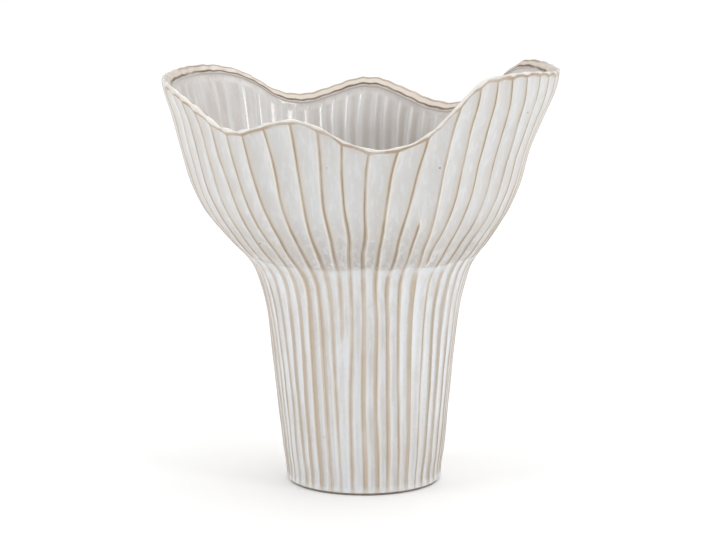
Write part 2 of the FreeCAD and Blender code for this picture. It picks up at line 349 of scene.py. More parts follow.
@dataclass
class Fluting:
    """Layout of the ridges round the vase, and the form of the flutes between them."""

    form: VaseForm
    levels: tuple[float, ...] = (14.7, 59.0, 118.0, 142.0, 165.0, 177.0, 201.0, 226.0, 250.0, 270.0)
    front_ridges: tuple[tuple[float, ...], ...] = (
        (-62.4, -61.0, -61.7, -61.0, -60.0, -59.0, -60.5, -61.0, -62.0, -63.0),
        (-55.5, -53.6, -54.9, -53.5, -53.0, -52.0, -53.3, -54.5, -56.0, -57.0),
        (-47.4, -47.4, -46.75, -45.0, -45.5, -45.0, -45.8, -48.5, -50.0, -50.0),
        (-41.0, -39.9, -38.6, -38.0, -37.3, -38.0, -40.0, -42.0, -43.5, -44.0),
        (-33.0, -32.4, -31.75, -30.2, -31.5, -31.2, -33.3, -35.3, -37.0, -36.0),
        (-24.9, -24.6, -24.9, -24.5, -24.2, -24.5, -25.6, -26.4, -29.0, -29.5),
        (-16.75, -17.0, -17.75, -18.0, -17.3, -17.4, -17.5, -18.4, -19.8, -20.2),
        (-12.8, -12.8, -12.4, -11.6, -10.4, -9.9, -10.8, -10.9, -12.0, -12.6),
        (-9.0, -8.6, -6.1, -6.0, -4.1, -3.0, -3.9, -4.4, -5.0, -5.0),
        (1.25, 0.4, 1.0, 0.9, 1.5, 2.9, 3.0, 3.3, 3.8, 4.0),
        (10.1, 8.25, 8.25, 6.9, 8.1, 9.1, 10.2, 11.5, 13.0, 13.5),
        (17.6, 16.75, 14.75, 13.4, 15.6, 16.0, 18.2, 20.2, 21.0, 21.0),
        (25.75, 23.9, 21.4, 20.3, 21.4, 22.0, 23.5, 24.3, 24.3, 24.3),
        (33.25, 32.0, 29.5, 28.8, 27.2, 27.6, 28.2, 28.6, 28.4, 29.8),
        (36.9, 36.0, 33.9, 32.6, 31.4, 33.0, 35.1, 35.5, 34.6, 35.2),
        (40.75, 39.75, 38.9, 38.1, 39.2, 40.2, 41.9, 42.3, 41.3, 41.4),
        (48.25, 48.9, 46.4, 45.6, 46.2, 47.6, 49.5, 49.6, 48.2, 47.5),
        (57.0, 55.75, 54.5, 53.5, 53.1, 54.6, 57.0, 57.2, 54.9, 54.1),
        (64.5, 63.9, 62.0, 61.0, 60.5, 62.0, 63.6, 63.2, 61.4, 61.0),
        (72.0, 71.5, 70.0, 69.0, 68.5, 70.0, 70.6, 70.0, 68.0, 67.3),
    )
    short_ridges: tuple[ShortRidge, ...] = (
        ShortRidge(7, (86.0, 112.0)), ShortRidge(12, fades_out=(184.0, 206.0)), ShortRidge(14, (146.0, 160.0)))
    back_layout: SmoothCurve = SmoothCurve((0, 68.5), (12, 145.0), (26.5, 215.0), (39, 297.7), flowing=True)
    columns_per_flute: int = 14
    seed: int = 11
    height_table: Span = (-4.0, 290.0)
    sway: float = 0.1
    sway_lengths: Span = (150.0, 330.0)
    layout_slips: Span = (-0.08, 0.08)
    depth_varies: Span = (0.82, 1.18)
    tilts: Span = (-0.35, 0.35)
    stands: Span = (-0.28, 0.28)
    band_varies: Span = (0.75, 1.3)
    core_shifts: Span = (-0.75, 0.75)
    arch_dips: Span = (0.5, 1.8)
    stem_depth: float = 1.35
    bowl_depth: float = 1.9
    stem_to_bowl: Span = (140.0, 172.0)
    arris_round: float = 0.75
    foot_fade: Span = (1.5, 7.0)
    bead_fade: Span = (-0.2, 2.2)
    stand_rise: Span = (20.0, 120.0)
    stem_band_share: float = 0.175
    bowl_band: float = 0.95
    low_bowl_band: float = 0.25
    low_bowl: Span = (160.0, 205.0)
    core_lost_mm: float = 6.0
    # Painted shade: between these sines of the angle, the ridge lines take the greyer tone of the vase's left and
    # right sides.
    shaded_side_sines: Span = (0.55, 0.85)
    # How sharply the side measure turns over at the front middle; it picks the flank for the painted highlight and
    # the flank for the painted shade.
    lit_flank_contrast: float = 4.0
    inner_depth: float = 0.9
    inner_fade: Span = (154.0, 192.0)
    lip_fade: Span = (0.5, 5.0)
    groove_shares: Span = (0.15, 0.12)
    behind: Span = (180.0, 38.0)
    # Painted shade inside: angles and spreads of the darkened back wall, the lower part strongest low down.
    high_inner_shade: Span = (156.0, 24.0)
    low_inner_shade: Span = (170.0, 30.0)
    low_inner_shade_fade: Span = (196.0, 240.0)
    high_inner_shade_share: float = 0.4

    def __post_init__(self) -> None:
        """Lays the ridges out and gives each flute its own small irregularities."""
        dice = np.random.default_rng(self.seed)
        self.heights = np.arange(*self.height_table)
        within = np.clip(self.heights, self.levels[0] - 8, self.levels[-1] + 10)
        rows = [SmoothCurve(*zip(self.levels, ridge), flowing=True).at(within)
                for ridge in self.front_ridges]
        (start, end), last = self.back_layout.values[[0, -1]], int(self.back_layout.places[-1])
        turn_on = rows[0] + FULL_TURN
        right_sway, left_sway = rows[-1] - start, turn_on - end
        for k in range(1, last):
            turns = self.heights / dice.uniform(*self.sway_lengths) + dice.random()
            place = k + self.sway * np.sin(math.tau * turns) + dice.uniform(*self.layout_slips)
            pull = right_sway * math.exp(-k / 2) + left_sway * math.exp((k - last) / 2)
            rows.append(self.back_layout.at(place) + pull)
        self.table, self.count = np.array([*rows, turn_on]).T, len(rows)
        steps = np.arange(self.columns_per_flute) / self.columns_per_flute
        self.flute = np.repeat(np.arange(self.count), self.columns_per_flute)
        self.share = np.tile((1 - np.cos(np.pi * steps)) / 2, self.count)
        partial = [ridge.number for ridge in self.short_ridges]
        self.wide_left = self.flute - np.isin(self.flute, partial)
        self.wide_right = self.flute + 1 + np.isin(self.flute + 1, partial)
        nearest = (self.flute + (self.share > 0.5)) % self.count
        self.short = np.isin(nearest, partial)
        self.depth_vary = dice.uniform(*self.depth_varies, self.count)[self.wide_left]
        self.tilt = dice.uniform(*self.tilts, self.count)[self.wide_left]
        self.stand = self.across(dice.uniform(*self.stands, self.count))
        self.band_vary = dice.uniform(*self.band_varies, self.count)[nearest]
        self.core_shift = dice.uniform(*self.core_shifts, self.count)[nearest]
        self.arch = self.across(dice.uniform(*self.arch_dips, self.count))

    def across(self, values: Array) -> Array:
        """Values of the ridges, carried evenly across the flutes between them."""
        return mix(values[self.flute], values[(self.flute + 1) % self.count], self.share)

    def ridge_angle(self, index: Array, z: Array) -> Array:
        """Angles of ridges at rows of heights, where each column has the number of its ridge."""
        place = np.clip(z - self.heights[0], 0, len(self.heights) - 1.001)
        return mix(*(self.table[place.astype(int) + step, index] for step in (0, 1)), place % 1)

    def angle(self, z: Array) -> Array:
        """Angles of all columns at rows of heights."""
        return mix(self.ridge_angle(self.flute, z), self.ridge_angle(self.flute + 1, z), self.share)

    def strength(self, z: Array) -> Array:
        """How plainly each column's own short ridge stands.

        Args:
            z: Rows of heights.

        Returns:
            1 where the flute has no short ridge, and 0 where its short ridge has died out.
        """
        result = np.ones(z.shape)
        for ridge in self.short_ridges:
            stands = ramp(z, *ridge.fades_in) * (1 - ramp(z, *ridge.fades_out))
            result = np.where(np.isin(self.flute, (ridge.number - 1, ridge.number)), stands, result)
        return result

    def fields(self, z: Array, radius: Array) -> Fields:
        """Measures across the flutes.

        Args:
            z: Rows of heights.
            radius: Radius of the wall at each place.

        Returns:
            Arrays named angle, share, width, wide_share, wide_width, strength and ridge_mm.
        """
        left, right, wide_left, wide_right = (self.ridge_angle(index, z) for index in (
            self.flute, self.flute + 1, self.wide_left, self.wide_right))
        angle, share = mix(left, right, self.share), np.broadcast_to(self.share, z.shape)
        width, wide_width = (span * radius * math.pi / 180 for span in (right - left, wide_right - wide_left))
        wide_share, strength = (angle - wide_left) / (wide_right - wide_left), self.strength(z)
        return {"angle": angle, "share": share, "width": width, "wide_share": wide_share,
                "wide_width": wide_width, "strength": strength,
                "ridge_mm": mix(way_in(wide_share) * wide_width, way_in(share) * width, strength) / 2}

    def scoop(self, share: Array, width: Array, mean: Array, z: Array) -> Array:
        """Depth of flutes below their ridges.

        Args:
            share: Share of the way across each flute.
            width: Width of each flute.
            mean: Usual width of a flute at that height.
            z: Heights.

        Returns:
            The depth at each place.
        """
        blunt = 2 * self.arris_round / width
        eased = (np.hypot(way_in(share), blunt) - blunt) / (np.hypot(1, blunt) - blunt)
        bowl = self.bowl_depth * (1 - (1 - eased) ** 2) * (1 + self.tilt * (2 * share - 1))
        stem = self.stem_depth * (1 - np.cos(math.tau * share)) / 2
        return mix(stem, bowl, ramp(z, *self.stem_to_bowl)) * (width / mean) ** 0.8 * self.depth_vary

    def outside(self, z: Array) -> tuple[Array, Fields]:
        """Outer surface of the walls.

        Args:
            z: Rows of heights.

        Returns:
            The radius at each place, and the measures that the glaze follows.
        """
        form, base = self.form, self.form.profile_radius(z)
        fields, mean = self.fields(z, base), base * math.tau / self.count
        angle, share, width, strength = (fields[name] for name in ("angle", "share", "width", "strength"))
        joined = self.scoop(fields["wide_share"], fields["wide_width"], mean, z)
        depth = mix(joined, self.scoop(share, width, mean, z), strength)
        below = form.rim_height(angle) - form.bead_depth(angle) - z - self.arch * (1 - way_in(share)) ** 2
        cut = ramp(z, *self.foot_fade) * ramp(below, *self.bead_fade)
        radius = base - form.seam_crease(angle, z) + form.hand_wobble(angle, z)
        bowl, sideways = ramp(z, *self.stem_to_bowl), np.sin(np.radians(angle))
        bowl_band = self.bowl_band + self.low_bowl_band * (1 - ramp(z, *self.low_bowl))
        band = mix(self.stem_band_share * width, bowl_band, bowl) * mix(self.band_vary, 1, bowl / 2)
        from_ridge = (share - (share > 0.5)) * width - self.core_shift * band * (1 - 0.6 * bowl)
        # side is below zero on the ridge flank turned out towards the vase's left or right side, which gets a
        # painted highlight, and above zero on the flank turned in, which gets painted shade.
        return radius + (self.stand * ramp(z, *self.stand_rise) - depth) * cut, fields | {
            "band_mm": band, "core_mm": np.abs(from_ridge) + self.core_lost_mm * (1 - strength) * self.short,
            "bowl": bowl, "lip_mm": below, "cut": cut, "flank": ramp(np.abs(sideways), *self.shaded_side_sines),
            "side": np.sin(math.tau * share) * strength * np.tanh(-self.lit_flank_contrast * sideways),
            "seam_mm": form.above_seam(angle, z)}

    def inside(self, z: Array) -> tuple[Array, Fields]:
        """Inner surface of the walls, which swells between soft grooves.

        Args:
            z: Rows of heights.

        Returns:
            The radius at each place, and the measures that the glaze follows.
        """
        form, base = self.form, self.form.inner_radius(z)
        fields = self.fields(z, base)
        angle, around = fields["angle"], fields["angle"] % FULL_TURN
        wide, own = (1 - (1 - way_in(fields[name])) ** 3 for name in ("wide_share", "share"))
        below = form.wall_top(angle) - z
        cut = ramp(z, *self.inner_fade) * ramp(below, *self.lip_fade)
        rib = self.inner_depth * mix(wide, own, fields["strength"]) * cut
        low_inner_shade = swell(around, *self.low_inner_shade) * (1 - ramp(z, *self.low_inner_shade_fade))
        usual, wider = self.groove_shares
        return base + form.hand_wobble(angle, z) - rib, fields | {
            "band_mm": fields["width"] * (usual + wider * swell(around, *self.behind)), "lip_mm": below, "cut": cut,
            "inner_shade": mix(low_inner_shade, swell(around, *self.high_inner_shade), self.high_inner_shade_share)}


class ShellMesh:
    """Mesh put together from grids of points that go round the vase."""

    def __init__(self) -> None:
        """Starts with nothing in it."""
        self.points: list[Array] = []
        self.quads: list[Array] = []
        self.sides: list[Array] = []
        self.fields: list[Fields] = []
        self.total = 0

    def add_grid(self, grid: Array, side: Side, fields: Fields | None = None, flip: bool = False) -> Array:
        """Adds rows of points that each go round the vase and close.

        Args:
            grid: Points, row after row.
            side: Which finish the faces get.
            fields: Values at each point, of which the glaze follows those named in MEASURES.
            flip: Whether the faces look the other way.

        Returns:
            The numbers of the new points, row after row.
        """
        shape = grid.shape[:2]
        numbers = np.arange(shape[0] * shape[1]).reshape(shape) + self.total
        self.points.append(grid.reshape(-1, 3))
        self.fields.append({name: np.broadcast_to(values, shape).reshape(-1)
                            for name, values in (fields or {}).items() if name in MEASURES})
        self.total += numbers.size
        for low, high in zip(numbers, numbers[1:]):
            self.bridge(low, high, side, flip)
        return numbers

    def bridge(self, low: Array, high: Array, side: Side, flip: bool = False) -> None:
        """Joins two rows of points with a closed ring of faces.

        Args:
            low: Numbers of the points of one row.
            high: Numbers of the points of the next.
            side: Which finish the faces get.
            flip: Whether the faces look the other way.
        """
        quads = np.stack([low, np.roll(low, -1), np.roll(high, -1), high], axis=-1)
        self.quads.append(quads[:, ::-1] if flip else quads)
        self.sides.append(np.full(len(quads), side.value))

    def build(self, name: str, finishes: Finishes) -> Piece:
        """Makes the object.

        Args:
            name: Name of the piece.
            finishes: The material of each side.

        Returns:
            The new object, linked to the scene.
        """
        mesh = bpy.data.meshes.new(name)
        sides, points = np.concatenate(self.sides), np.concatenate(self.points) * METRES_PER_MM
        mesh.from_pydata(points.tolist(), [], np.concatenate(self.quads).tolist())
        used = [side for side in Side if side in finishes and (sides == side.value).any()]
        for side in used:
            mesh.materials.append(finishes[side])
        slots = np.array([used.index(side) if side in used else 0 for side in Side])
        mesh.polygons.foreach_set("material_index", slots[sides].astype(np.int32))
        for measure in MEASURES:
            if any(measure in fields for fields in self.fields):
                parts = [fields.get(measure, np.zeros(len(part)))
                         for fields, part in zip(self.fields, self.points)]
                attribute = mesh.attributes.new(measure, "FLOAT", "POINT")
                attribute.data.foreach_set("value", np.concatenate(parts).astype(np.float32))
        mesh.polygons.foreach_set("use_smooth", np.ones(len(mesh.polygons), bool))
        mesh.set_sharp_from_angle(angle=math.radians(SHARP_ANGLE))
        mesh.validate()
        return add_to_scene(name, mesh)


def add_to_scene(name: str, data: bpy.types.ID) -> Piece:
    """Makes an object of some data and links it to the scene.

    Args:
        name: Name of the object.
        data: Its mesh, light or camera.

    Returns:
        The object.
    """
    thing = bpy.data.objects.new(name, data)
    bpy.context.scene.collection.objects.link(thing)
    return thing


class NodeSheet:
    """Short ways to lay out nodes in one tree."""

    def __init__(self, tree: Tree) -> None:
        """Keeps the tree that the nodes go in."""
        self.tree = tree

    def add(self, kind: str, settings: dict[str, object] | None = None,
            inputs: dict[str | int, object] | None = None) -> Node:
        """Adds a node.

        Args:
            kind: Type name of the node, after "ShaderNode".
            settings: Properties of the node.
            inputs: Values or sockets for its inputs, by name or number.

        Returns:
            The new node.
        """
        node = self.tree.nodes.new("ShaderNode" + kind)
        for name, value in (settings or {}).items():
            setattr(node, name, value)
        for name, value in (inputs or {}).items():
            self.feed(node.inputs[name], value)
        return node

    def feed(self, socket: Socket, value: object) -> None:
        """Links a socket to an input, or sets its plain value.

        Args:
            socket: The input.
            value: A socket, a number or a colour.
        """
        if isinstance(value, Socket):
            self.tree.links.new(value, socket)
        else:
            socket.default_value = value

    def math(self, operation: str, *values: object) -> Socket:
        """Adds a sum of two or three numbers or sockets."""
        return self.add("Math", {"operation": operation}, dict(enumerate(values))).outputs[0]

    def times(self, *values: object) -> Socket:
        """Multiplies numbers or sockets, one after the other."""
        return reduce(lambda total, value: self.math("MULTIPLY", total, value), values)

    def line(self, value: object, slope: object, start: object) -> Socket:
        """Adds a value times a slope to a start."""
        return self.math("MULTIPLY_ADD", value, slope, start)

    def fade(self, value: object, start: object, end: object, low: float = 0.0, high: float = 1.0) -> Socket:
        """Goes smoothly from low to high while the value goes from the start to the end."""
        return self.add("MapRange", {"interpolation_type": "SMOOTHSTEP"}, {
            "Value": value, "From Min": start, "From Max": end, "To Min": low, "To Max": high}).outputs["Result"]

    def blend(self, share: object, first: object, second: object) -> Socket:
        """Mixes two colours, of which the share gives how much of the second shows."""
        return self.add("Mix", {"data_type": "RGBA"}, {0: share, 6: first, 7: second}).outputs[2]

    def place(self, upright: float = 1.0) -> Socket:
        """Adds the place on the object, stretched by a factor along its height."""
        where = self.add("TexCoord").outputs["Object"]
        return self.add("Mapping", None, {"Vector": where, "Scale": (1.0, 1.0, upright)}).outputs[0]

    def noise(self, scale: object, detail: float = 2.0, roughness: float = 0.5, upright: float = 1.0) -> Socket:
        """Adds noise of 0 to 1, scaled in waves a metre, which runs down the wall where upright is below 1."""
        return self.add("TexNoise", None, {"Vector": self.place(upright), "Scale": scale, "Detail": detail,
                                           "Roughness": roughness}).outputs[0]

    def measure(self, name: str) -> Socket:
        """Adds one of the mesh's own measures."""
        return self.add("Attribute", {"attribute_name": name}).outputs["Fac"]

    def use(self, group: Tree, **inputs: object) -> Sockets:
        """Places a shared group, with values or sockets for its inputs, and gives its outputs."""
        return self.add("Group", {"node_tree": group}, inputs).outputs

    @classmethod
    def open_group(cls, name: str, **inputs: float | Colour) -> tuple["NodeSheet", Sockets]:
        """Starts a node group.

        Args:
            name: Name of the group.
            inputs: Usual value of each input, a number or a colour.

        Returns:
            The sheet to lay its nodes on, and the given values.
        """
        tree = bpy.data.node_groups.new(name, "ShaderNodeTree")
        for socket_name, usual in inputs.items():
            kind = "NodeSocketColor" if isinstance(usual, tuple) else "NodeSocketFloat"
            tree.interface.new_socket(name=socket_name, in_out="INPUT", socket_type=kind).default_value = usual
        return cls(tree), tree.nodes.new("NodeGroupInput").outputs

    def close_group(self, **results: Socket) -> Tree:
        """Gives a node group its outputs.

        Args:
            results: What each output puts out.

        Returns:
            The node group.
        """
        for name, value in results.items():
            self.tree.interface.new_socket(name=name, in_out="OUTPUT", socket_type=value.bl_idname)
        end = self.tree.nodes.new("NodeGroupOutput")
        for name, value in results.items():
            self.feed(end.inputs[name], value)
        return self.tree


class Effects:
    """Node groups that the finishes share, each built once."""

    mark_places: tuple[Place, ...] = (
        (-23.2, -113.4, 225.8), (-66.1, -64.6, 169.2), (28.5, -107.6, 219.2), (47.0, -101.6, 224.0),
        (43.1, -98.3, 207.5), (98.2, -79.8, 269.8), (103.6, -62.9, 252.8), (-34.1, -50.5, 99.0))

    def __init__(self) -> None:
        """Builds the groups."""
        self.thin_glaze = self.build_thin_glaze()
        self.glaze_cloud = self.build_glaze_cloud()
        self.pinholes = self.build_pinholes()
        self.marks = self.build_marks()
        self.fired_skin = self.build_fired_skin()

    def build_thin_glaze(self) -> Tree:
        """Where glaze runs thin over an edge, with the darker margin beside it, and the band past that where the
        outside paints a highlight.

        Returns:
            The node group.
        """
        sheet, given = NodeSheet.open_group(
            "Thin glaze over an edge", Distance=1.0, Reach=1.0, Spread=3.0, Unevenness=0.5)
        distance, times, line, fade = given["Distance"], sheet.times, sheet.line, sheet.fade
        wide, fine = sheet.noise(70.0, 3.0, 0.6, 0.35), sheet.noise(420.0, 2.0, 0.6, 0.3)
        factor = line(line(wide, 1.9, line(fine, 0.8, -1.35)), given["Unevenness"], 1.0)
        reach = times(given["Reach"], factor)
        start = times(reach, 1.5)
        core = fade(distance, times(reach, 0.35), times(reach, 1.6), 1.0, 0.0)
        worn = fade(sheet.noise(38.0, 3.0, 0.55, 0.5), 0.28, 0.62, 0.45, 1.0)
        fall = fade(distance, start, sheet.math("ADD", start, 1.5), 1.0, 0.0)
        return sheet.close_group(
            Core=times(core, worn), Margin=fade(distance, reach, line(given["Spread"], factor, reach), 1.0, 0.0),
            Rim=times(fade(distance, reach, start), fall))

    def build_glaze_cloud(self) -> Tree:
        """Cloudy change between two tints, with soft runs down the wall.

        Returns:
            The node group.
        """
        sheet, given = NodeSheet.open_group(
            "Clouded glaze", Thick=(0.7, 0.7, 0.7, 1.0), Thin=(0.6, 0.58, 0.55, 1.0), Amount=0.5,
            Streak=(0.75, 0.76, 0.78, 1.0), Streaks=0.0)
        cloud = sheet.times(sheet.noise(26.0, 3.0, 0.55, 0.6), 0.75)
        runs = sheet.line(sheet.noise(190.0, 2.0, 0.5, 0.07), 0.45, cloud)
        total = sheet.line(sheet.noise(520.0, 2.0, 0.6), 0.22, runs)
        clouded = sheet.times(sheet.fade(total, 0.50, 0.92), given["Amount"])
        streaked = sheet.times(sheet.fade(sheet.noise(330.0, 2.0, 0.55, 0.045), 0.46, 0.66), given["Streaks"])
        tint = sheet.blend(clouded, given["Thick"], given["Thin"])
        return sheet.close_group(Color=sheet.blend(streaked, tint, given["Streak"]))

    def build_pinholes(self) -> Tree:
        """Sparse pinholes and iron specks in the glaze.

        Returns:
            The node group.
        """
        sheet, given = NodeSheet.open_group("Pinholes and specks", Spacing=60.0, Size=0.02, Chance=0.2)
        cells = sheet.add("TexVoronoi", {"feature": "F1"}, {
            "Vector": sheet.place(), "Scale": given["Spacing"], "Randomness": 1.0}).outputs
        pick = sheet.add("SeparateColor", None, {0: cells["Color"]}).outputs
        size = sheet.times(given["Size"], sheet.math("ADD", pick[1], 0.35))
        dot = sheet.fade(cells["Distance"], sheet.times(size, 0.5), size, 1.0, 0.0)
        return sheet.close_group(Mask=sheet.times(dot, sheet.math("LESS_THAN", pick[0], given["Chance"])))

    def build_marks(self) -> Tree:
        """The few larger pinholes, each at its own place.

        Returns:
            The node group.
        """
        sheet, _ = NodeSheet.open_group("Single marks")
        where, nearest = sheet.place(), 1.0
        for mark in self.mark_places:
            away = sheet.add("VectorMath", {"operation": "DISTANCE"}, {
                0: where, 1: tuple(mm * METRES_PER_MM for mm in mark)})
            nearest = sheet.math("MINIMUM", away.outputs["Value"], nearest)
        ragged = sheet.line(sheet.noise(900.0), 0.0006, nearest)
        return sheet.close_group(Mask=sheet.fade(ragged, 0.0006, 0.0012, 1.0, 0.0))

    def build_fired_skin(self) -> Tree:
        """Fine relief and changing gloss of a fired surface.

        Returns:
            The node group.
        """
        sheet, given = NodeSheet.open_group("Fired skin", Grain=500.0, Gloss=0.2, Change=0.1)
        height = sheet.line(sheet.noise(120.0, 2.0, 0.5, 0.45), 2.2, sheet.noise(given["Grain"], 2.0, 0.55))
        patches = sheet.math("SUBTRACT", sheet.noise(55.0, 3.0, 0.6, 0.5), 0.5)
        return sheet.close_group(Height=height, Roughness=sheet.line(patches, given["Change"], given["Gloss"]))


def start_material(name: str) -> tuple[Material, NodeSheet, Node]:
    """Starts a material with its shader.

    Args:
        name: Name of the material.

    Returns:
        The material, the sheet to lay nodes on and the shader's node.
    """
    material = bpy.data.materials.new(name)
    material.use_nodes = True
    return material, NodeSheet(material.node_tree), material.node_tree.nodes["Principled BSDF"]


def dress(sheet: NodeSheet, shader: Node, colour: Socket, roughness: Socket, height: Socket, relief: Span) -> None:
    """Feeds a shader with what changes over its surface.

    Args:
        sheet: The material's sheet.
        shader: The material's shader.
        colour: Colour at each place.
        roughness: Roughness at each place.
        height: Fine relief at each place.
        relief: Strength of the relief, and its height in metres.
    """
    bump = sheet.add("Bump", None, {"Strength": relief[0], "Distance": relief[1], "Height": height})
    for name, value in (("Base Color", colour), ("Roughness", roughness), ("Normal", bump.outputs["Normal"])):
        sheet.feed(shader.inputs[name], value)


@dataclass(frozen=True)
class ReactiveGlaze:
    """Glossy off-white glaze that pools pale in the flutes and breaks tan and brown over edges."""

    effects: Effects
    stem_thick: Colour = (0.835, 0.85, 0.86, 1.0)
    bowl_thick: Colour = (0.71, 0.715, 0.715, 1.0)
    streak: Colour = (0.82, 0.845, 0.885, 1.0)
    cloud: Colour = (0.665, 0.635, 0.60, 1.0)
    margin: Colour = (0.69, 0.635, 0.57, 1.0)
    # Painted highlight: cream stripe beside each ridge on its outward flank.
    painted_highlight: Colour = (0.86, 0.815, 0.725, 1.0)
    # Painted shade: darker glaze tone for the bowl's overhanging underside just above the seam.
    painted_underside_shade: Colour = (0.525, 0.50, 0.475, 1.0)
    lip_break: Colour = (0.38, 0.265, 0.155, 1.0)
    stem_break: Colour = (0.575, 0.455, 0.335, 1.0)
    bowl_break: Colour = (0.46, 0.335, 0.20, 1.0)
    # Painted shade: greyer tone for the ridge lines on the vase's left and right sides.
    side_shaded_break: Colour = (0.41, 0.365, 0.315, 1.0)
    line_break: Colour = (0.28, 0.195, 0.115, 1.0)
    # Dark line along the lip's inner edge.
    inner_edge_dark: Colour = (0.12, 0.065, 0.035, 1.0)
    # Painted shade: darker, greyer tone for the ridge lines on the bowl's overhanging underside.
    underside_shaded_break: Colour = (0.27, 0.215, 0.17, 1.0)
    speck: Colour = (0.13, 0.105, 0.09, 1.0)
    inside_panel: Colour = (0.745, 0.725, 0.71, 1.0)
    # Painted shade: darker tone for the back and the deep middle of the inside.
    inside_painted_shade: Colour = (0.46, 0.42, 0.385, 1.0)
    inside_stripe: Colour = (0.61, 0.57, 0.53, 1.0)
    inside_line: Colour = (0.80, 0.80, 0.795, 1.0)
    lip_top: Colour = (0.69, 0.615, 0.535, 1.0)
    lip_bead: Colour = (0.84, 0.82, 0.785, 1.0)
    gloss: float = 0.17
    relief: Span = (0.35, 0.00012)

    def finish(self, sheet: NodeSheet, shader: Node, colour: Socket, thin: Socket | None = None,
               holes: bool = True) -> None:
        """Adds what all glazed places share: specks, relief and gloss.

        Args:
            sheet: The material's sheet.
            shader: The material's shader.
            colour: Colour of the glaze so far.
            thin: Where the glaze is thin, and duller.
            holes: Whether the glaze has pinholes.
        """
        skin = sheet.use(self.effects.fired_skin, Grain=620.0, Gloss=self.gloss, Change=0.12)
        height, roughness = skin["Height"], skin["Roughness"]
        if holes:
            pits = sheet.use(self.effects.pinholes, Spacing=75.0, Size=0.045, Chance=0.16)
            pit = sheet.math("MAXIMUM", pits["Mask"], sheet.use(self.effects.marks)["Mask"])
            colour = sheet.blend(sheet.times(pit, 0.85), colour, self.speck)
            height = sheet.line(pit, -4.0, height)
        if thin is not None:
            roughness = sheet.line(thin, 0.12, roughness)
        shader.inputs["IOR"].default_value = 1.5
        dress(sheet, shader, colour, roughness, height, self.relief)

    def outside(self) -> Material:
        """Glaze of the fluted outside.

        Returns:
            The material.
        """
        material, sheet, shader = start_material("glaze_outside")
        effects, times, line, fade, blend = self.effects, sheet.times, sheet.line, sheet.fade, sheet.blend
        bowl, seam, cut, side, flank = (sheet.measure(name) for name in ("bowl", "seam_mm", "cut", "side", "flank"))
        patches = sheet.noise(42.0, 3.0, 0.6, 0.8)
        ragged = sheet.math("ADD", seam, line(patches, 16.0, -8.0))
        # Painted shade on the bowl's overhanging underside: full just above the seam, gone by 46 mm above it.
        underside_shade_mask = times(fade(ragged, -2.5, 3.0), fade(seam, 3.0, 46.0, 0.95, 0.0))
        slip = times(fade(seam, -6.5, -2.0), fade(seam, -1.4, 1.2, 1.0, 0.0), fade(patches, 0.42, 0.62))
        thick = blend(underside_shade_mask, blend(bowl, self.stem_thick, self.bowl_thick), self.painted_underside_shade)
        pools = sheet.use(effects.glaze_cloud, Thick=thick, Thin=self.cloud, Amount=0.75, Streak=self.streak,
                          Streaks=line(bowl, -0.40, 0.75))
        edge = sheet.use(effects.thin_glaze, Distance=sheet.measure("ridge_mm"), Reach=sheet.measure("band_mm"),
                         Spread=line(bowl, 3.0, 0.8), Unevenness=0.42)
        thread = sheet.use(effects.thin_glaze, Distance=sheet.measure("core_mm"), Reach=0.42, Spread=0.5,
                           Unevenness=0.8)
        under_lip = sheet.use(effects.thin_glaze, Distance=sheet.measure("lip_mm"), Reach=1.05, Spread=1.8,
                              Unevenness=0.8)
        open_share = times(line(cut, 0.85, 0.15), line(slip, -0.6, 1.0))
        core = times(edge["Core"], open_share, line(bowl, -0.08, 0.85))
        # Painted highlight: a cream stripe beside each ridge, on the flank turned out towards the vase's left or
        # right side.
        pale = times(edge["Rim"], fade(side, 0.1, -0.45), fade(sheet.noise(60.0, upright=0.3), 0.3, 0.7, 0.25, 1.0))
        # The ridge lines are glaze breaks; towards the vase's left and right sides they turn greyer as painted
        # shade.
        tone = blend(times(flank, 0.75), blend(bowl, self.stem_break, self.bowl_break), self.side_shaded_break)
        # Painted shade: over the bowl's underside the ridge lines turn darker and greyer.
        tone = blend(times(underside_shade_mask, 0.7), tone, self.underside_shaded_break)
        crease = times(fade(seam, -0.7, 0.0), fade(seam, 0.0, 0.8, 1.0, 0.0), fade(patches, 0.35, 0.6, 0.0, 0.3))
        colour = pools["Color"]
        for share, tint in (
                # The tan margin beside each ridge is the glaze's own; its strengthening on the flank turned in
                # towards the vase's middle is painted shade.
                (times(edge["Margin"], fade(side, -0.5, 0.9, 0.2, 1.0), 0.8), self.margin),
                (times(under_lip["Margin"], 0.5), self.margin),
                (times(pale, line(bowl, 0.40, 0.55)), self.painted_highlight),
                (core, tone),
                (times(thread["Core"], open_share, line(bowl, 0.30, 0.35)), self.line_break),
                (times(under_lip["Core"], 0.85), self.lip_break),
                (times(slip, 0.45), self.streak),
                (crease, self.stem_break)):
            colour = blend(share, colour, tint)
        self.finish(sheet, shader, colour, core)
        return material

    def inside(self) -> Material:
        """Glaze of the inside, pale in its narrow grooves, and darkened towards the back and deep down by painted
        shade.

        Returns:
            The material.
        """
        material, sheet, shader = start_material("glaze_inside")
        inner_shade = sheet.measure("inner_shade")
        pools = sheet.use(self.effects.glaze_cloud, Thick=self.inside_panel, Thin=self.inside_stripe, Amount=0.8,
                          Streak=self.inside_line, Streaks=0.06)
        groove = sheet.use(self.effects.thin_glaze, Distance=sheet.measure("ridge_mm"),
                           Reach=sheet.measure("band_mm"), Spread=2.0, Unevenness=0.35)
        # Painted shade: the inside panels darken towards the back and deep down, and the pale grooves fade there.
        panel = sheet.blend(sheet.times(inner_shade, 0.95), pools["Color"], self.inside_painted_shade)
        share = sheet.times(groove["Core"], sheet.measure("cut"), sheet.line(inner_shade, -0.35, 0.85))
        self.finish(sheet, shader, sheet.blend(share, panel, self.inside_line))
        return material

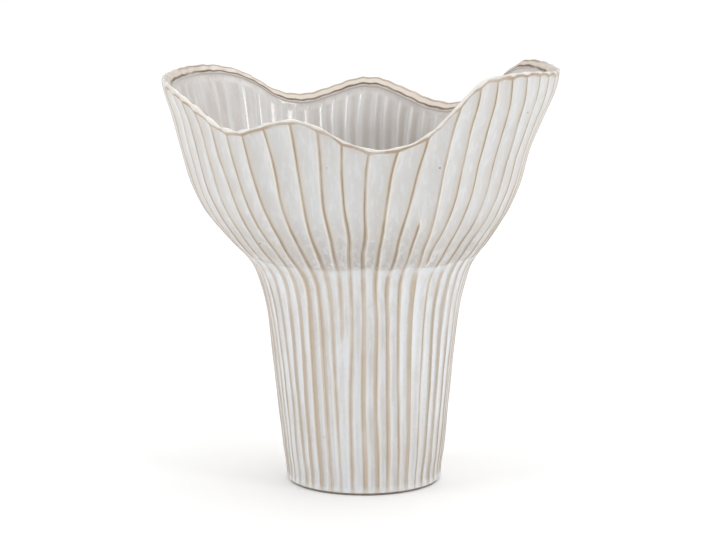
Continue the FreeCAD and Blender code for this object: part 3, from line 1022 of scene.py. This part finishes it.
    def lip(self) -> Material:
        """Glaze of the lip, thin and brown along its outer edges, with a dark line along its inner edge.

        Returns:
            The material.
        """
        material, sheet, shader = start_material("glaze_lip")
        pools = sheet.use(self.effects.glaze_cloud, Thick=self.lip_bead, Thin=self.margin, Amount=0.6)
        colour = sheet.blend(sheet.measure("top"), pools["Color"], self.lip_top)
        colour = sheet.blend(sheet.measure("within"), colour, self.inside_stripe)
        core: Socket | None = None
        for name, reach, tone, force in (("line_mm", 1.0, self.lip_break, 0.9),
                                         ("outer_edge_mm", 0.6, self.line_break, 0.75),
                                         ("inner_edge_mm", 0.95, self.inner_edge_dark, 1.0)):
            edge = sheet.use(self.effects.thin_glaze, Distance=sheet.measure(name), Reach=reach, Spread=0.8,
                             Unevenness=0.6)
            core = sheet.times(edge["Core"], force)
            colour = sheet.blend(core, colour, tone)
        self.finish(sheet, shader, colour, core, holes=False)
        return material


@dataclass(frozen=True)
class BareClay:
    """Unglazed fired stoneware, worn smooth where it stands."""

    effects: Effects
    body: Colour = (0.34, 0.285, 0.235, 1.0)
    grog: Colour = (0.20, 0.165, 0.135, 1.0)
    roughness: float = 0.82
    relief: Span = (0.6, 0.0002)

    def foot(self) -> Material:
        """Clay of the foot ring.

        Returns:
            The material.
        """
        material, sheet, shader = start_material("bare_clay_foot")
        clay = sheet.use(self.effects.glaze_cloud, Thick=self.body, Thin=self.grog, Amount=0.7)
        grit = sheet.use(self.effects.pinholes, Spacing=420.0, Size=0.3, Chance=0.5)["Mask"]
        skin = sheet.use(self.effects.fired_skin, Grain=1500.0, Gloss=self.roughness, Change=0.2)
        colour = sheet.blend(sheet.times(grit, 0.6), clay["Color"], self.grog)
        dress(sheet, shader, colour, skin["Roughness"], sheet.line(grit, -1.5, skin["Height"]), self.relief)
        return material


def seat(piece: Piece, node: str) -> Piece:
    """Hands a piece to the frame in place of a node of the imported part.

    Args:
        piece: The new piece.
        node: The node that it stands for.

    Returns:
        The piece.
    """
    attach(piece, "root")
    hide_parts(node)
    low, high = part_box(node)
    log.info("%s: %d points, stands for %s, which reaches %.1f to %.1f mm up", piece.name,
             len(piece.data.vertices), node, low[2] / METRES_PER_MM, high[2] / METRES_PER_MM)
    return piece


@dataclass
class FlutedWall:
    """What the stem and the bowl share: a fluted outside and a softly ribbed inside."""

    form: VaseForm
    fluting: Fluting

    def close(self, outer_z: Array, inner_z: Array) -> ShellMesh:
        """Makes the wall between two sets of rows.

        Args:
            outer_z: Heights of the outer points, one row after the other.
            inner_z: Heights of the inner points.

        Returns:
            The closed mesh.
        """
        shell = ShellMesh()
        radius, fields = self.fluting.outside(outer_z)
        outer = shell.add_grid(self.form.point(radius, fields["angle"], outer_z), Side.OUTSIDE, fields)
        radius, fields = self.fluting.inside(inner_z)
        inner = shell.add_grid(self.form.point(radius, fields["angle"], inner_z), Side.INSIDE, fields, flip=True)
        shell.bridge(inner[0], outer[0], Side.OUTSIDE)
        shell.bridge(outer[-1], inner[-1], Side.OUTSIDE)
        return shell


@dataclass
class StemWall(FlutedWall):
    """The fluted, tapering stem between the floor slab and the seam."""

    row_step: float = 2.2
    fine_step: float = 0.8
    fine_reach: float = 14.0

    def build(self, finishes: Finishes) -> Piece:
        """Makes the stem wall, with its rows closer near both ends.

        Args:
            finishes: The material of each side.

        Returns:
            The piece.
        """
        low, high = self.form.stem_bottom, self.form.seam_height
        rows = np.unique(np.concatenate([
            np.arange(low, low + self.fine_reach, self.fine_step),
            np.arange(low + self.fine_reach, high - self.fine_reach, self.row_step),
            np.arange(high, high - self.fine_reach, -self.fine_step)]))
        z = np.repeat(rows[:, None], len(self.fluting.flute), axis=1)
        inner_z = z[::2] if len(rows) % 2 else np.concatenate([z[::2], z[-1:]])
        return seat(self.close(z, inner_z).build("Stem_Wall_Fluted", finishes), "stem_wall")


@dataclass
class BowlWall(FlutedWall):
    """The wide fluted bowl between the seam and the lip."""

    outer_rows: int = 84
    inner_rows: int = 56
    crowding: float = 0.11
    settling_rounds: int = 4

    def settle(self, share: Array) -> Array:
        """Finds heights on rows that rise with the waved rim.

        Args:
            share: Share of the way from the seam to the lip, for each row.

        Returns:
            The height at each place.
        """
        z = np.full((len(share), len(self.fluting.flute)), self.form.seam_height)
        for _ in range(self.settling_rounds):
            top = self.form.wall_top(self.fluting.angle(z))
            z = self.form.seam_height + share[:, None] * (top - self.form.seam_height)
        return z

    def rows(self, count: int) -> Array:
        """Heights on a number of rows, closer near the seam and the lip."""
        even = np.linspace(0, 1, count)
        return self.settle(even - self.crowding * np.sin(math.tau * even))

    def build(self, finishes: Finishes) -> Piece:
        """Makes the bowl wall with a finish on each side."""
        shell = self.close(self.rows(self.outer_rows), self.rows(self.inner_rows))
        return seat(shell.build("Bowl_Wall_Fluted", finishes), "bowl_wall")


@dataclass
class RimLip:
    """The rolled lip that follows the waved top of the bowl."""

    form: VaseForm
    fluting: Fluting
    bowl: BowlWall
    face_rows: int = 8
    samples: int = 34
    bead_proud: float = 0.3
    bead_waves: Waves = ((0.20, 9, 0.0, 0.7), (0.14, 23, 0.0, 2.0), (0.10, 41, 0.0, 0.0))
    inner_proud: float = 0.15
    knot_height: float = 0.8
    knot_waves: Waves = ((0.25, 37, 0.0, 0.0),)
    knot_share: float = 0.35
    knotted: Span = (-70.0, 45.0)
    hollow: float = 1.0
    outer_line_in: float = 0.2
    outer_line_width: float = 1.4
    section: tuple[tuple[float, float, float, float], ...] = (
        (0.00, 0.8, 0.20, 0.0), (0.00, 1.2, 0.58, 0.0), (0.03, 0.9, 0.92, 0.0), (0.15, 0.0, 1.01, 0.0),
        (0.30, 0.0, 1.00, 0.01), (0.45, 0.0, 1.00, 0.17), (0.70, 0.0, 1.00, 0.58), (0.95, 0.0, 1.00, 0.96))
    inner_section: tuple[Span, ...] = ((0.8, 1.0), (0.6, 0.6), (0.2, 0.2))

    def bead(self, outer: Array, inner: Array, depth: Array, full: Array, knots: Array) -> tuple[Array, int, int]:
        """Rolls the lip over from the ends of the flutes to its inner foot.

        Args:
            outer: Points where the flutes end.
            inner: Points of the lip's inner foot.
            depth: Height of the bead at each point.
            full: How full the bead is at each point.
            knots: How much the bead is gathered into a knot at each point, from -1 to 1.

        Returns:
            Rows of points over the lip, and the numbers of the rows at its crest and at its inner edge.
        """
        form, up = self.form, np.array([0, 0, 1.0])
        across = inner + up * (form.lip_height - depth) - outer
        outwards = -across / np.linalg.norm(across, axis=1)[:, None]
        poles = [outer]
        for in_share, proud_share, up_share, drop_share in self.section:
            rise = up_share * (depth + self.knot_height * knots)
            rise = rise - drop_share * (form.lip_height - form.lip_inner_height)
            stand = proud_share * (self.bead_proud * full + self.hollow * (knots - 1) / 2)
            poles.append(outer + across * in_share + outwards * stand + rise * up)
        for proud_share, up_share in self.inner_section:
            poles.append(inner - outwards * proud_share * self.inner_proud * full
                         + up_share * form.lip_inner_height * up)
        poles.append(inner)
        weights = spline_weights(len(poles), self.samples)
        inwards = weights[:, 1:1 + len(self.section)] @ np.array([row[0] for row in self.section])
        grid = np.einsum("sp,pcx->scx", weights, np.array(poles))[1:]
        crest = int(np.argmax(grid[:, 0, 2]))
        edge = int(np.argmax(np.where(np.arange(1, self.samples) > crest, inwards[1:], 0.0)))
        return grid, crest, edge

    def build(self, finishes: Finishes) -> Piece:
        """Makes the lip.

        Args:
            finishes: The material of each side.

        Returns:
            The piece.
        """
        form, feet = self.form, self.bowl.settle(np.array([1.0]))
        depth = form.bead_depth(self.fluting.angle(feet))
        z = feet + np.linspace(0, 1, self.face_rows)[:, None] * (form.lip_height - depth)
        radius, fields = self.fluting.outside(z)
        face = form.point(radius, fields["angle"], z)
        inner_radius, inner_fields = self.fluting.inside(feet)
        inner = form.point(inner_radius, inner_fields["angle"], feet)[0]
        shell, lip_mm = ShellMesh(), np.abs(fields["lip_mm"])
        face_numbers = shell.add_grid(face, Side.OUTSIDE, fields | {
            "line_mm": lip_mm, "outer_edge_mm": np.array(FAR_MM), "inner_edge_mm": np.array(FAR_MM)})
        angle, share = fields["angle"][-1], fields["share"][-1]
        knots = mix(self.knot_share, 1, swell(angle, *self.knotted)) * np.cos(math.tau * share)
        knots = knots * (0.75 + ripple(self.knot_waves, angle))
        grid, crest, edge = self.bead(face[-1], inner, depth[0][:, None],
                                      1 + ripple(self.bead_waves, angle)[:, None], knots[:, None])
        front = 1 - ramp(-np.cos(np.radians(angle)), -0.1, 0.4)
        along = np.cumsum(np.linalg.norm(np.diff(np.concatenate([face[-1:], grid]), axis=0), axis=2), axis=0)
        past_line = np.abs(along - along[crest] - self.outer_line_in) - self.outer_line_width
        numbers = shell.add_grid(grid, Side.LIP, {
            "line_mm": along + lip_mm[-1], "outer_edge_mm": np.maximum(past_line, 0.0) + 4 * front,
            "inner_edge_mm": np.abs(along - along[edge]), "top": ramp(along - along[crest], -0.4, 1.0),
            "within": ramp(along - along[edge], 0.1, 0.8)})
        shell.bridge(face_numbers[-1], numbers[0], Side.LIP)
        shell.bridge(numbers[-1], face_numbers[0], Side.INSIDE)
        return seat(shell.build("Rim_Lip_Rolled", finishes), "rim_lip")


@dataclass
class FloorSlab:
    """The round slab that closes the stem, glazed inside and at its edge."""

    form: VaseForm
    fluting: Fluting
    edge_rows: int = 8
    bend_rows: int = 7
    edge_round: float = 0.8
    pool_height: float = 2.2
    pool_reach: float = 6.0
    ledge_reach: float = 0.4
    under_parts: tuple[float, ...] = (0.05, 0.4, 0.8)
    floor_parts: tuple[float, ...] = (0.02, 0.3, 0.55, 0.75, 0.86, 0.91, 0.94, 0.965, 0.985, 1.0)

    def build(self, finishes: Finishes) -> Piece:
        """Makes the slab.

        Args:
            finishes: The material of each side.

        Returns:
            The piece.
        """
        form, soft, bottom, top = self.form, self.edge_round, self.form.foot_height, self.form.stem_bottom
        level = np.full((1, len(self.fluting.flute)), top)
        angle, inner_radius = self.fluting.angle(level)[0], self.fluting.inside(level)[0][0]
        bend = np.linspace(0, math.pi / 2, self.bend_rows)[1:]
        rows = np.append(np.linspace(top, bottom + soft, self.edge_rows), bottom + soft * (1 - np.sin(bend)))
        insets = np.append(np.zeros(self.edge_rows), soft * (1 - np.cos(bend)))[::-1]
        z = np.repeat(rows[::-1, None], len(angle), axis=1)
        radius, fields = self.fluting.outside(z)
        side = form.point(radius - insets[:, None], fields["angle"], z)
        under = [form.point(radius[0] * part - soft, fields["angle"][0], z[0]) for part in self.under_parts]
        shell = ShellMesh()
        outside = shell.add_grid(np.concatenate([np.array(under), side]), Side.OUTSIDE, {
            name: np.concatenate([values[:1]] * len(under) + [values]) for name, values in fields.items()})
        floor = []
        for part in self.floor_parts:
            radius = inner_radius * part
            rise = self.pool_height * ramp(radius, inner_radius[0] - self.pool_reach, inner_radius[0]) ** 2
            floor.append(form.point(radius, angle, top + rise))
        inside = shell.add_grid(np.array(floor), Side.INSIDE, {
            "ridge_mm": np.array(FAR_MM), "band_mm": np.array(1.0)})
        ledge = shell.add_grid(form.point(inner_radius + self.ledge_reach, angle, level[0])[None], Side.INSIDE)
        shell.bridge(inside[-1], ledge[0], Side.INSIDE)
        shell.bridge(ledge[0], outside[-1], Side.OUTSIDE)
        piece = shell.build("Floor_Slab_Glazed", finishes)
        self.close_middle(piece)
        return seat(piece, "floor_slab")

    def close_middle(self, piece: Piece) -> None:
        """Closes the two small holes in the middle of the slab.

        Args:
            piece: The slab.
        """
        mesh = bmesh.new()
        mesh.from_mesh(piece.data)
        open_edges = [edge for edge in mesh.edges if edge.is_boundary]
        for face in bmesh.ops.holes_fill(mesh, edges=open_edges)["faces"]:
            face.smooth = True
        bmesh.ops.triangulate(mesh, faces=[face for face in mesh.faces if len(face.verts) > 4])
        mesh.to_mesh(piece.data)
        mesh.free()


@dataclass
class FootRing:
    """The low unglazed ring that the vase stands on."""

    form: VaseForm
    inset: float = 1.2
    width: float = 9.0
    edge_round: float = 0.5
    edge_rise: float = 0.4
    bend_rows: int = 6
    columns: int = 240
    wear: Waves = ((0.10, 7, 0.0, 1.0), (0.07, 19, 0.0, 0.3))

    def build(self, finishes: Finishes) -> Piece:
        """Makes the ring.

        Args:
            finishes: The material of each side.

        Returns:
            The piece.
        """
        angle = np.linspace(0, FULL_TURN, self.columns, endpoint=False)
        outer, height, soft = self.form.stem_foot_radius - self.inset, self.form.foot_height, self.edge_round
        inner, bend = outer - self.width, np.linspace(0, math.pi / 2, self.bend_rows)
        section = [(outer, height), (outer, soft + self.edge_rise),
                   *((outer - soft * (1 - math.cos(b)), soft * (1 - math.sin(b))) for b in bend),
                   (outer - self.width / 2, 0.0),
                   *((inner + soft * (1 - math.sin(b)), soft * (1 - math.cos(b))) for b in bend),
                   (inner, height)]
        rows = [self.form.point(radius + ripple(self.wear, angle), angle, np.full_like(angle, z))
                for radius, z in section]
        shell = ShellMesh()
        numbers = shell.add_grid(np.array(rows), Side.OUTSIDE, flip=True)
        shell.bridge(numbers[-1], numbers[0], Side.OUTSIDE, flip=True)
        return seat(shell.build("Foot_Ring_Clay", finishes), "foot_ring")


@dataclass(frozen=True)
class SoftBox:
    """One soft box: its place and size in metres and its power in watts."""

    name: str
    place: Place
    size: Span
    watts: float

    def hang(self, aim: Vector) -> None:
        """Hangs the box so that it looks at a point.

        Args:
            aim: The point.
        """
        data = bpy.data.lights.new(self.name, "AREA")
        data.shape, (data.size, data.size_y), data.energy = "RECTANGLE", self.size, self.watts
        light = add_to_scene(self.name, data)
        light.location = self.place
        light.rotation_euler = (aim - Vector(self.place)).to_track_quat("-Z", "Y").to_euler()


@dataclass(frozen=True)
class Studio:
    """Pale floor, soft boxes and the camera that took the photograph."""

    eye: Place = (-3.85, -2258.6, 584.1)
    aim: Place = (-3.85, 0.0, 139.4)
    lens: float = 176.8
    sensor: float = 36.0
    sight: float = 60.0
    floor_size: float = 14.0
    floor_tints: tuple[Colour, Colour] = ((0.85, 0.85, 0.85, 1.0), (0.87, 0.87, 0.87, 1.0))
    white: Colour = (1.0, 1.0, 1.0, 1.0)
    sky: float = 0.42
    paper_lift: float = 0.12
    light_aim: Place = (0.0, 0.0, 0.15)
    boxes: tuple[SoftBox, ...] = (
        SoftBox("ceiling_box", (0.7, 0.9, 4.5), (8.0, 8.0), 262.0),
        SoftBox("right_box", (2.1, -0.7, 1.1), (1.6, 1.8), 5.0),
        SoftBox("left_box", (-2.1, -0.7, 1.1), (1.6, 1.8), 19.0),
        SoftBox("window_box", (1.72, -1.22, 1.0), (0.5, 0.5), 8.0))

    def place_camera(self) -> None:
        """Puts the camera where the photograph was taken from."""
        data = bpy.data.cameras.new("photo_camera")
        data.lens, data.sensor_width, data.clip_end = self.lens, self.sensor, self.sight
        camera = add_to_scene("photo_camera", data)
        eye, aim = Vector(self.eye) * METRES_PER_MM, Vector(self.aim) * METRES_PER_MM
        camera.location = eye
        camera.rotation_euler = (aim - eye).to_track_quat("-Z", "Y").to_euler()
        bpy.context.scene.camera = camera

    def place_floor(self) -> None:
        """Lays the plain pale floor."""
        half = self.floor_size / 2
        mesh = bpy.data.meshes.new("pale_floor")
        corners = [(-half, -half, 0), (half, -half, 0), (half, half, 0), (-half, half, 0)]
        mesh.from_pydata(corners, [], [(0, 1, 2, 3)])
        material, sheet, shader = start_material("pale_paper")
        sheet.feed(shader.inputs["Base Color"], sheet.blend(sheet.noise(3.0), *self.floor_tints))
        shader.inputs["Roughness"].default_value = 0.75
        shader.inputs["Specular IOR Level"].default_value = 0.1
        shader.inputs["Emission Color"].default_value = self.white
        seen = sheet.add("LightPath").outputs["Is Camera Ray"]
        sheet.feed(shader.inputs["Emission Strength"], sheet.times(seen, self.paper_lift))
        mesh.materials.append(material)
        floor = add_to_scene("pale_floor", mesh)

    def build(self) -> None:
        """Sets up the sky, the floor, the lights and the camera."""
        world = bpy.data.worlds.new("soft_sky")
        world.use_nodes = True
        background = world.node_tree.nodes["Background"]
        background.inputs["Color"].default_value = self.white
        background.inputs["Strength"].default_value = self.sky
        bpy.context.scene.world = world
        self.place_floor()
        for box in self.boxes:
            box.hang(Vector(self.light_aim))
        self.place_camera()
        view = bpy.context.scene.view_settings
        view.view_transform, view.look, view.exposure, view.gamma = "Standard", "None", 0.0, 1.0


def main() -> None:
    """Builds the vase piece by piece and sets up the studio."""
    logging.basicConfig(level=logging.INFO, format="%(name)s: %(message)s")
    form = VaseForm()
    fluting = Fluting(form)
    effects = Effects()
    glaze, clay = ReactiveGlaze(effects), BareClay(effects)
    walls = {Side.OUTSIDE: glaze.outside(), Side.INSIDE: glaze.inside()}
    FootRing(form).build({Side.OUTSIDE: clay.foot()})
    FloorSlab(form, fluting).build(walls)
    StemWall(form, fluting).build(walls)
    bowl = BowlWall(form, fluting)
    bowl.build(walls)
    RimLip(form, fluting, bowl).build(walls | {Side.LIP: glaze.lip()})
    Studio().build()


if __name__ == "__main__":
    main()
